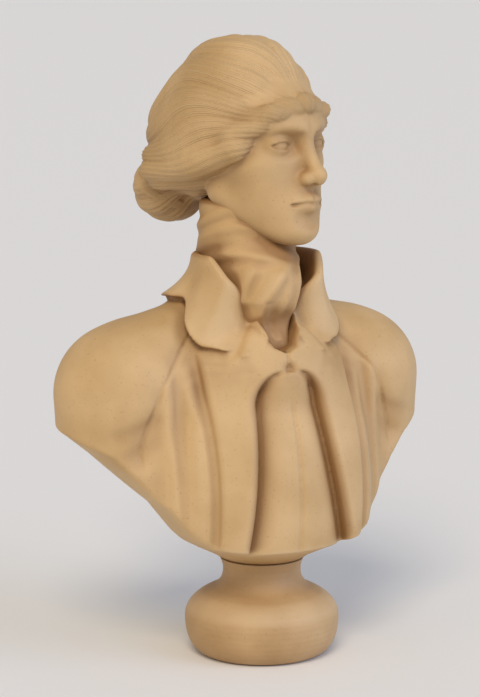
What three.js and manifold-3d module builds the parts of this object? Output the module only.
// A small bust of a man in the dress of the late eighteenth century, on a round waisted socle.
// Millimetres, +Z up. The chest faces -Y and the figure's right is -X.
// The origin is the middle of the socle's flat underside.
import * as THREE from "three";
import { mergeVertices } from "three/addons/utils/BufferGeometryUtils.js";
import Module from "manifold-3d";

// Driving dimensions, the whole object

const TOTAL_HEIGHT = 230; // floor to the top of the hair
const BUST_BOTTOM = 36.5; // height of the cut underside of the bust over the floor
const RESTING_GAP = 0.3; // joint between the bust and its socle

// Driving dimensions, the socle

const FOOT_RADIUS = 29; // the fullest ring of the bun foot
const FOOT_FULLEST_AT = 13.5;
const UNDERSIDE_RADIUS = 21;
const WAIST_RADIUS = 14.6; // the narrow neck of the socle
const WAIST_AT = 32;
const SOCLE_TOP_RADIUS = 16;

// Driving dimensions, the head

const HEAD_HEIGHT = 73; // chin to the crown of the skull, without hair
const HAIR_OVER_CROWN = 4; // thickness of the combed hair over it
const EYES_OVER_MIDDLE = 1.3; // the eyes lie this far over the middle of the head's height
const HEAD_TURN = 21; // degrees that the head looks to the figure's left
const HEAD_DEPTH = 1.05; // stretch of the head from its back to its brow
const HEAD_MIDDLE = [-0.3, 15.2, TOTAL_HEIGHT - HAIR_OVER_CROWN - HEAD_HEIGHT / 2 + EYES_OVER_MIDDLE];

// Driving dimensions, the body

const BODY_BACK = 18; // how far the line of the shoulders lies behind the socle's axis
const SHOULDER_HALF = 49.7; // from the middle line to the middle of each upper arm
const ARM_RADIUS = 24;
const CHEST_FRONT = -31.5;
const FLAT_OF_BACK = 50;

// Driving dimensions, the coat and waistcoat

const OPENING_TOP = 110; // where the coat's fronts part over the waistcoat, in a round arch
const OPENING_HALVES = {
  // half width under the arch, how much wider at the underside of the bust, and how the edge bends
  right: { arch: 12.4, spread: 7, bend: 1.1 },
  left: { arch: 11.4, spread: 14, bend: 1.8 },
};
const FACING_EDGE = 29.5; // outer edge of the facing turned back along each front, from the middle
const FACING_THICK = 1.5;
const FOLD_APART = 9; // the soft upright folds beside the facings
const FOLD_DEEP = 0.7;
const PANEL_DEEP = 1.4; // how far the waistcoat lies below the coat at the middle line
const PANEL_TOP_PROUD = 1.2; // how far it stands over it there under the top of the opening
const PANEL_EDGE_DEEP = 6.5; // how far it lies below the coat at the edges of the opening
const ARCH_EDGE_DEEP = 2; // and along the arch at the top
const PANEL_FULLNESS = 4.5; // the higher, the nearer to its edges the waistcoat falls away

// Driving dimensions, the collar: its crest and outer edge are turns from the nape to the tips

const COLLAR_MIDDLE = [1, 6];
const COLLAR_HALF = [22.8, 22]; // half width and half depth of the ring of the crest
const CREST_HEIGHT = 150;
const CREST_DROP = 29; // how far the crest falls from the sides of the neck to its ends
const CREST_TURN = 164; // degrees from the nape to the end of the crest
const EDGE_TURN = 146; // and to the tip of the fall
// Heights of the outer edge: at the nape, over the shoulders, where its fronts begin, at its tips
const EDGE_HEIGHT = [131.5, 134.5, 118, 115.5];
const COLLAR_THICK = 2.8;
const COLLAR_STEPS = 16;

const degrees = THREE.MathUtils.degToRad;
const clamp = THREE.MathUtils.clamp;
const smooth = THREE.MathUtils.smoothstep;

// Plain forms: how far a point p lies outside each, in millimetres, negative inside

function ball(p, middle, radii) {
  const x = p.x - middle[0];
  const y = p.y - middle[1];
  const z = p.z - middle[2];
  const near = Math.hypot(x / radii[0], y / radii[1], z / radii[2]);
  const steep = Math.hypot(x / radii[0] ** 2, y / radii[1] ** 2, z / radii[2] ** 2);
  return steep > 0 ? (near * (near - 1)) / steep : -Math.min(...radii);
}

function limb(p, from, to, fromRadius, toRadius) {
  const along = [to[0] - from[0], to[1] - from[1], to[2] - from[2]];
  const out = [p.x - from[0], p.y - from[1], p.z - from[2]];
  const length2 = along[0] ** 2 + along[1] ** 2 + along[2] ** 2;
  const dot = out[0] * along[0] + out[1] * along[1] + out[2] * along[2];
  const t = clamp(dot / length2, 0, 1);
  const away = Math.hypot(out[0] - t * along[0], out[1] - t * along[1], out[2] - t * along[2]);
  return away - (fromRadius + t * (toRadius - fromRadius));
}

// Joins two forms with a fillet of about the given width.
function join(a, b, fillet) {
  const h = Math.max(fillet - Math.abs(a - b), 0) / fillet;
  return Math.min(a, b) - (h * h * fillet) / 4;
}

const scoop = (a, b, fillet) => -join(-a, b, fillet);
const mirror = (p) => ({ x: Math.abs(p.x), y: p.y, z: p.z });

// Closed meshes

const wasm = await Module();
wasm.setup();

function solid(geometry) {
  const bare = new THREE.BufferGeometry();
  bare.setAttribute("position", geometry.getAttribute("position"));
  if (geometry.index) bare.setIndex(geometry.index);
  const merged = mergeVertices(bare, 1e-3);
  return new wasm.Manifold(
    new wasm.Mesh({
      numProp: 3,
      vertProperties: merged.getAttribute("position").array,
      triVerts: new Uint32Array(merged.index.array),
    }),
  );
}

function geometryOf(made) {
  const mesh = made.getMesh();
  const geometry = new THREE.BufferGeometry();
  geometry.setAttribute("position", new THREE.BufferAttribute(mesh.vertProperties, 3));
  geometry.setIndex(new THREE.BufferAttribute(mesh.triVerts, 1));
  geometry.computeVertexNormals();
  return geometry;
}

const MARCH_STEPS = 60;
const MARCH_SHARE = 0.7; // of the distance that the form gives, so that no step goes through it

// A ball whose every vertex is drawn in along its own ray until it lies on the form's outside.
// Crowding gathers the columns towards the front, where the carving is finer.
function modelled({ middle, reach, form, columns, rows, crowding = 0 }) {
  const geometry = new THREE.SphereGeometry(1, columns, rows);
  geometry.rotateX(Math.PI / 2);
  const place = geometry.getAttribute("position");
  const ray = new THREE.Vector3();
  const p = new THREE.Vector3();
  for (let i = 0; i < place.count; i++) {
    ray.fromBufferAttribute(place, i);
    const level = Math.hypot(ray.x, ray.y);
    const around = Math.atan2(ray.x, -ray.y);
    const turned = around - crowding * Math.sin(around);
    ray.set(level * Math.sin(turned), -level * Math.cos(turned), ray.z).normalize();
    let distance = reach;
    for (let step = 0; step < MARCH_STEPS; step++) {
      p.set(...middle).addScaledVector(ray, distance);
      distance -= MARCH_SHARE * form(p);
    }
    p.set(...middle).addScaledVector(ray, distance);
    place.setXYZ(i, p.x, p.y, p.z);
  }
  return solid(geometry);
}

// A skin of sections, each a closed ring of points, with flat ends.
function lofted(sections) {
  const across = sections[0].length;
  const points = sections.flat();
  const faces = [];
  for (let s = 0; s + 1 < sections.length; s++) {
    for (let i = 0; i < across; i++) {
      const a = s * across + i;
      const b = s * across + ((i + 1) % across);
      faces.push(a, b + across, b, a, a + across, b + across);
    }
  }
  const last = (sections.length - 1) * across;
  for (let i = 1; i + 1 < across; i++) {
    faces.push(0, i, i + 1);
    faces.push(last, last + i + 1, last + i);
  }
  const geometry = new THREE.BufferGeometry();
  geometry.setAttribute("position", new THREE.Float32BufferAttribute(points.flat(), 3));
  geometry.setIndex(faces);
  return solid(geometry);
}

// A plate of an outline drawn from the front, [x, z] pairs, between two depths.
function plate(outline, front, back) {
  const points = outline.map(([x, z]) => new THREE.Vector2(x, z));
  const geometry = new THREE.ExtrudeGeometry(new THREE.Shape(points), {
    depth: back - front,
    bevelEnabled: false,
  });
  geometry.rotateX(Math.PI / 2);
  geometry.translate(0, back, 0);
  return solid(geometry);
}

// The face, in the head's own frame: eyes on z = 0, looking to -Y, the ears on y = 0

function faceForm(p) {
  const m = mirror(p);
  const skull = ball(p, [0, 3, 10], [23, 28, 26.5]);
  const forehead = ball(p, [0, -10, 8.5], [18.8, 20.8, 16]);
  const midface = ball(p, [0, -10, -8], [17.6, 19.8, 20]);
  const underJaw = ball(p, [0, -12, -24], [12.5, 15, 9]);
  const jaw = limb(m, [14.5, -3, -17], [5, -22, -30], 4.8, 4.8);
  const mouthMound = ball(p, [0, -19.5, -20.5], [11.5, 12.6, 10.5]);
  const cheekbone = ball(m, [11.8, -17.2, -7.5], [7.4, 7.6, 6.2]);
  const cheek = ball(m, [9.5, -17.5, -17], [6.5, 7.2, 7.5]);
  const chin = ball(p, [0, -26.2, -31], [7.2, 6, 5.4]);
  const temple = ball(m, [24.2, -15, 9], [3.2, 8, 8]);
  let f = join(join(join(skull, forehead, 8), midface, 8), underJaw, 8);
  f = join(join(f, jaw, 9), mouthMound, 7);
  f = join(join(f, cheekbone, 7), cheek, 6);
  f = scoop(join(f, chin, 5), temple, 6);
  return mouthOn(noseOn(eyesOn(f, m), p, m), p, m);
}

function eyesOn(f, m) {
  const brow = limb(m, [3, -27.9, 5.9], [12.8, -23.9, 7.2], 2.5, 2);
  const socket = ball(m, [9.5, -31, 0.6], [6.2, 6, 4.2]);
  const innerCorner = ball(m, [4.7, -31.2, 0.4], [1.5, 3.4, 3]);
  const lids = ball(m, [9.8, -23.6, 0.1], [5.4, 4.6, 4.4]);
  return join(scoop(scoop(join(f, brow, 5), socket, 3.5), innerCorner, 2.5), lids, 1.6);
}

function noseOn(f, p, m) {
  const bridge = limb(p, [0, -27.2, 4], [0, -33.9, -9.4], 2.1, 2.7);
  const tip = ball(p, [0, -35, -10.9], [2.9, 3.1, 2.8]);
  const wing = ball(m, [3.3, -32, -11.9], [2.1, 3, 2.2]);
  const underTip = limb(p, [0, -35.4, -12.7], [0, -32, -14.4], 1.3, 1.3);
  return join(join(join(join(f, bridge, 3.2), tip, 2.4), wing, 2.2), underTip, 1.5);
}

function mouthOn(f, p, m) {
  const upperLip = limb(m, [1, -32, -19.4], [7, -28.9, -20.9], 1.7, 0.8);
  const lowerLip = limb(m, [0, -31.3, -23.3], [6.2, -28.9, -22], 2.1, 0.9);
  const parting = limb(m, [0, -34.2, -21.2], [7.9, -30, -21.2], 0.7, 0.6);
  const overChin = limb(p, [-4.5, -33.9, -27], [4.5, -33.9, -27], 2.2, 2.2);
  return scoop(scoop(join(join(f, upperLip, 2.2), lowerLip, 1.8), parting, 0.9), overChin, 4);
}

// The hair is combed back from the brow over the ears and gathered in a club at the nape.
// The locks follow the half turns round a line from behind the brow to the tie of the club.

const COMBED_FROM = new THREE.Vector3(0, -40, 6);
const CLUB_TIE = new THREE.Vector3(0, 31, -8);
const LOCKS = 8; // broad locks on each side
const LOCK_RISE = 1.3;
const LOCK_WANDER = 0.07; // radians that a lock strays to either side
const WANDER_LENGTH = 9;

function lockRelief(p) {
  const axis = CLUB_TIE.clone().sub(COMBED_FROM).normalize();
  const out = new THREE.Vector3(p.x, p.y, p.z).sub(COMBED_FROM);
  const along = out.dot(axis);
  out.addScaledVector(axis, -along);
  const up = new THREE.Vector3(0, 0, 1).addScaledVector(axis, -axis.z).normalize();
  const side = new THREE.Vector3().crossVectors(axis, up);
  const turn = Math.atan2(Math.abs(out.dot(side)), out.dot(up));
  const wandering = turn + LOCK_WANDER * Math.sin(along / WANDER_LENGTH + 3 * turn);
  return LOCK_RISE * (Math.abs(Math.sin(wandering * LOCKS)) - 0.5);
}

function hairForm(p) {
  const m = mirror(p);
  const crown = ball(p, [0, 1, 12], [25.5, 26, 27.5]);
  const backOfHead = ball(p, [0, 8, 2.5], [25.5, 30.3, 25.5]);
  const rollOverEar = limb(m, [21, -14, -2], [22, 4, -6], 4.2, 6.5);
  const rollBehindEar = limb(m, [22, 4, -6], [16.5, 23.5, -9.5], 6.5, 8.3);
  const club = ball(p, [0, 35, -18.8], [13.8, 13.6, 12.8]);
  const openFace = ball(p, [0, -37, -10], [24.5, 27.5, 31.5]);
  const openNape = ball(p, [0, 2, -44], [32, 22, 27]);
  const overBrow = limb(m, [0, -28, 14.5], [13, -24, 11.5], 4.2, 4.2);
  const overTemple = limb(m, [13, -24, 11.5], [21.5, -14, 2], 4.2, 4);
  let f = join(crown, backOfHead, 6);
  f = join(f, Math.min(rollOverEar, rollBehindEar), 5);
  f = scoop(scoop(join(f, club, 7), openFace, 2.5), openNape, 3);
  return join(f, Math.min(overBrow, overTemple), 4) - lockRelief(p);
}

// The body under the coat, in the part's frame

function bodyForm(p) {
  const m = mirror(p);
  const trunk = ball(p, [0, 13, 61], [52, 13 - CHEST_FRONT, 65]);
  const shoulder = ball(m, [SHOULDER_HALF - 5.5, BODY_BACK, 104], [23.2, 22, 20]);
  const elbow = [SHOULDER_HALF + 1, BODY_BACK, 70];
  const arm = limb(m, [SHOULDER_HALF, BODY_BACK, 98], elbow, ARM_RADIUS, ARM_RADIUS - 1);
  const slope = limb(m, [0, BODY_BACK + 2, 129], [38, BODY_BACK, 110.5], 16, 16);
  const breast = ball(p, [0, 5, 108], [28, 25, 20]);
  let f = join(join(trunk, shoulder, 12), arm, 12);
  f = join(join(f, slope, 8), breast, 10);
  return scoop(f, FLAT_OF_BACK - p.y, 14);
}

// Half width of the coat's opening at a height, on the figure's right, side -1, or left, side 1:
// a round arch, and then spreading fronts.
function openingHalf(z, side) {
  const { arch, spread, bend } = side < 0 ? OPENING_HALVES.right : OPENING_HALVES.left;
  const down = clamp(OPENING_TOP - z, 0, OPENING_TOP - BUST_BOTTOM);
  const round = arch * Math.sqrt(1 - (1 - Math.min(down / arch, 1)) ** 2);
  return round + spread * (down / (OPENING_TOP - BUST_BOTTOM)) ** bend;
}

// How far the soft upright folds beside the facings stand over the plain coat.
function foldRelief(p) {
  const beside = Math.abs(p.x) - FACING_EDGE;
  const wave = -Math.cos((2 * Math.PI * beside) / FOLD_APART);
  const lowered = 1 - smooth(p.z, OPENING_TOP - 8, OPENING_TOP + 8);
  const across = smooth(beside, -2, 2) * (1 - smooth(beside, FOLD_APART, 2.5 * FOLD_APART));
  return FOLD_DEEP * wave * across * lowered * (1 - smooth(p.y, 0, 12));
}

const coatForm = (p) => bodyForm(p) - foldRelief(p);
const facingForm = (p) => coatForm(p) - FACING_THICK;

function waistcoatForm(p) {
  const across = clamp(Math.abs(p.x) / Math.max(openingHalf(p.z, Math.sign(p.x)), 1), 0, 1);
  const nearTop = smooth(p.z, OPENING_TOP - 16, OPENING_TOP - 1);
  const overArch = smooth(p.z, OPENING_TOP - 1, OPENING_TOP + 1.5);
  const underArch = smooth(p.z, OPENING_TOP - 8, OPENING_TOP - 2) * (1 - overArch);
  const underCoat = PANEL_EDGE_DEEP * overArch;
  const middleDeep = (PANEL_DEEP - (PANEL_DEEP + PANEL_TOP_PROUD) * nearTop) * (1 - overArch) + underCoat;
  const edgeDeep = PANEL_EDGE_DEEP - (PANEL_EDGE_DEEP - ARCH_EDGE_DEEP) * underArch;
  const deep = middleDeep + (edgeDeep - middleDeep) * across ** PANEL_FULLNESS;
  const behind = PANEL_EDGE_DEEP * smooth(p.y, -12, 0);
  return bodyForm(p) + deep + behind;
}

// The neckcloth: a swathe round the neck that fills the V of the collar.
function neckclothForm(p) {
  const swathe = limb(p, [0, 13, 108], [0, 12, 172], 21, 17.5);
  const fullUnderChin = ball(p, [0, 0.5, 139.5], [13.5, 17, 14.5]);
  const tuckedIn = ball(p, [0, -1, 112], [10, 13, 13]);
  return join(join(swathe, fullUnderChin, 8), tuckedIn, 6);
}

// The coat's cuts, drawn from the front

const CUT_FRONT = -70; // in front of everything
const CUT_FOOT = BUST_BOTTOM - 8; // and under everything
const CUT_STEPS = 9;
const ARCH_STEPS = 5;

// The edge of the opening on one side, from its top down: distances from the middle line and heights.
function openingEdge(side) {
  const { arch } = side < 0 ? OPENING_HALVES.right : OPENING_HALVES.left;
  const edge = [];
  for (let i = 0; i < ARCH_STEPS; i++) {
    const z = OPENING_TOP - arch * (1 - Math.cos((Math.PI / 2) * ((i + 0.5) / ARCH_STEPS)));
    edge.push([openingHalf(z, side), z]);
  }
  for (let step = 0; step <= CUT_STEPS; step++) {
    const z = OPENING_TOP - arch + (step / CUT_STEPS) * (CUT_FOOT - OPENING_TOP + arch);
    edge.push([openingHalf(z, side), z]);
  }
  return edge;
}

// A cut from its left edge, given downwards, and its right edge, both as distances from the middle.
const between = (left, right) => [...left, ...right.slice().reverse().map(([x, z]) => [-x, z])];
const opening = () => plate(between(openingEdge(1), openingEdge(-1)), CUT_FRONT, 0);

// The coat is open in a V over the neckcloth, rounded at its foot.
const V_HALF = [[0.6, 116], [4.5, 118], [7.5, 123.5], [11, 133], [17, 150]];
const vNeck = () => plate(between(V_HALF, V_HALF), CUT_FRONT, 12);

// One side's facing: it runs down the opening's edge, and its top lies under the collar.
function facing(side) {
  const foot = [FACING_EDGE, CUT_FOOT];
  const top = [[FACING_EDGE, OPENING_TOP + 6], [15, 124], ...V_HALF.slice(0, 3).reverse()];
  const outline = [...openingEdge(side), foot, ...top, [0.6, OPENING_TOP]];
  const drawn = outline.map(([x, z]) => [side * x, z]);
  return plate(side > 0 ? drawn.reverse() : drawn, CUT_FRONT, 0);
}

// The collar

// Radius from the collar's middle at which a level ray meets the coat, plus a thickness.
function coatRadius(out, z, over) {
  let radius = 90;
  for (let step = 0; step < MARCH_STEPS; step++) {
    const p = { x: COLLAR_MIDDLE[0] + radius * out[0], y: COLLAR_MIDDLE[1] + radius * out[1], z };
    radius -= MARCH_SHARE * (bodyForm(p) - over);
  }
  return radius;
}

// The crest stands round the neck, and at its ends it comes down on to the coat.
function crestAt(s) {
  const turn = degrees(CREST_TURN * s);
  const out = [Math.sin(turn), Math.cos(turn)];
  const t = clamp((Math.abs(s) - 0.63) / 0.37, 0, 1);
  const z = CREST_HEIGHT - CREST_DROP * t ** 1.25;
  const standing = 1 / Math.hypot(out[0] / COLLAR_HALF[0], out[1] / COLLAR_HALF[1]);
  const radius = standing + smooth(t, 0.3, 1) * (coatRadius(out, z, COLLAR_THICK) - 2 - standing);
  return { out, middle: [COLLAR_MIDDLE[0] + radius * out[0], COLLAR_MIDDLE[1] + radius * out[1], z] };
}

function edgeAt(s) {
  const turn = degrees(EDGE_TURN * s);
  const [nape, side, front, tip] = EDGE_HEIGHT;
  const along = Math.abs(s);
  const overShoulder = (side - nape) * smooth(along, 0.2, 0.5);
  const toFront = (front - side) * smooth(along, 0.53, 0.79);
  const toTip = (tip - front) * smooth(along, 0.79, 1);
  const z = nape + overShoulder + toFront + toTip;
  return { out: [Math.sin(turn), Math.cos(turn)], z };
}

const FALL_AT = [0.35, 0.65, 0.85]; // places down the fall between the crest and the edge
const FALL_HOLLOW = 2.2; // 1 is a straight fall, more is hollow, so that its edge flares
const STAND_DEEP = 17; // how far the collar's inside goes down,
const STAND_IN = 7; // and in, to end in the neckcloth

function collar() {
  const sections = [];
  for (let i = -COLLAR_STEPS; i <= COLLAR_STEPS; i++) {
    const crest = crestAt(i / COLLAR_STEPS);
    const edge = edgeAt(i / COLLAR_STEPS);
    const [cx, cy, cz] = crest.middle;
    const onCrest = (out, z) => [cx + out * crest.out[0], cy + out * crest.out[1], cz + z];
    const onEdge = (radius, z) => [
      COLLAR_MIDDLE[0] + radius * edge.out[0],
      COLLAR_MIDDLE[1] + radius * edge.out[1],
      edge.z + z,
    ];
    const inCoat = coatRadius(edge.out, edge.z, -1);
    const shoulder = onCrest(2, -0.8);
    const outer = onEdge(coatRadius(edge.out, edge.z, COLLAR_THICK), 0);
    const fall = FALL_AT.map((t) => {
      const out = t ** FALL_HOLLOW;
      return [
        shoulder[0] + out * (outer[0] - shoulder[0]),
        shoulder[1] + out * (outer[1] - shoulder[1]),
        shoulder[2] + t * (outer[2] - shoulder[2]),
      ];
    });
    sections.push([
      onCrest(-STAND_IN, -STAND_DEEP),
      onCrest(-1.4, -0.8),
      onCrest(0.3, 0.6),
      shoulder,
      ...fall,
      outer,
      onEdge(inCoat, -0.6),
      onEdge(inCoat - 5, -6),
    ]);
  }
  return lofted(sections);
}

// The bust is cut to a taper over the socle: level sections, each
// [height, half width, y of its front, y of its back, squareness].
const TAPER = [
  [BUST_BOTTOM, 15.6, -15.6, 15.6, 2],
  [39, 19.5, -19.5, 20, 2],
  [43, 27.5, -27, 25, 2.2],
  [46, 33, -35, 25, 2.5],
  [49, 36.5, -38, 27, 2.4],
  [60, 44.2, -46, 42, 2.3],
  [70.7, 55.8, -36, 58, 2.2],
  [79, 65.2, -32, 64, 2.1],
  [86, 74, -40, 72, 2],
  [94, 95, -60, 80, 2],
  [240, 95, -60, 80, 2],
];
const TAPER_SIDES = 60;
const BACK_PINCH = 0.18; // share of its width that a section loses towards the back

function taperBlock() {
  const sections = TAPER.map(([z, halfWidth, front, back, square]) => {
    const ring = [];
    for (let i = 0; i < TAPER_SIDES; i++) {
      const turn = (2 * Math.PI * i) / TAPER_SIDES;
      const swell = (n) => Math.sign(n) * Math.abs(n) ** (2 / square);
      const y = (front + back) / 2 + ((back - front) / 2) * swell(Math.sin(turn));
      const pinch = 1 - BACK_PINCH * smooth(y, 5, 60) * smooth(z, 40, 60);
      ring.push([pinch * halfWidth * swell(Math.cos(turn)), y, z]);
    }
    return ring;
  });
  return lofted(sections.reverse());
}

// The bust, one piece

function headAndHair() {
  const face = modelled({
    middle: [0, -4, -6], reach: 60, form: faceForm, columns: 44, rows: 36, crowding: 0.6,
  });
  const hair = modelled({ middle: [0, 4, 2], reach: 70, form: hairForm, columns: 36, rows: 26 });
  const place = new THREE.Matrix4()
    .makeTranslation(...HEAD_MIDDLE)
    .multiply(new THREE.Matrix4().makeRotationZ(degrees(HEAD_TURN)))
    .multiply(new THREE.Matrix4().makeScale(1, HEAD_DEPTH, 1));
  return face.add(hair).transform(place.elements);
}

function dress() {
  const skin = { middle: [0, 12, 88], reach: 110, columns: 46, rows: 26, crowding: 0.5 };
  const coat = modelled({ ...skin, form: coatForm });
  const facings = modelled({ ...skin, form: facingForm });
  const panel = modelled({ ...skin, form: waistcoatForm });
  const turnedBack = facings.intersect(facing(1).add(facing(-1)));
  return coat.subtract(opening()).subtract(vNeck()).add(turnedBack).add(panel).intersect(taperBlock());
}

const neckcloth = () =>
  modelled({ middle: [0, 9, 137], reach: 60, form: neckclothForm, columns: 24, rows: 16 });

function socleProfile() {
  const profile = new THREE.Path();
  profile.moveTo(0, 0);
  profile.lineTo(UNDERSIDE_RADIUS, 0);
  profile.bezierCurveTo(25.5, 0, FOOT_RADIUS, 5, FOOT_RADIUS, FOOT_FULLEST_AT);
  profile.bezierCurveTo(FOOT_RADIUS, 20, 22.5, 23, 18, 25);
  profile.bezierCurveTo(15.3, 27, WAIST_RADIUS, 29, WAIST_RADIUS, WAIST_AT);
  profile.lineTo(SOCLE_TOP_RADIUS, BUST_BOTTOM - RESTING_GAP);
  profile.lineTo(0, BUST_BOTTOM - RESTING_GAP);
  return profile.getPoints(5);
}

const biscuit = new THREE.MeshStandardMaterial({ color: 0xc8a677, roughness: 0.62, metalness: 0 });

const bustSolid = dress().add(neckcloth()).add(collar()).add(headAndHair());
const bust = new THREE.Mesh(geometryOf(bustSolid), biscuit);
bust.name = "bust";

const socle = new THREE.Mesh(new THREE.LatheGeometry(socleProfile(), 40), biscuit.clone());
socle.name = "socle";
socle.rotation.x = Math.PI / 2;

const group = new THREE.Group();
group.add(bust, socle);
export default group;
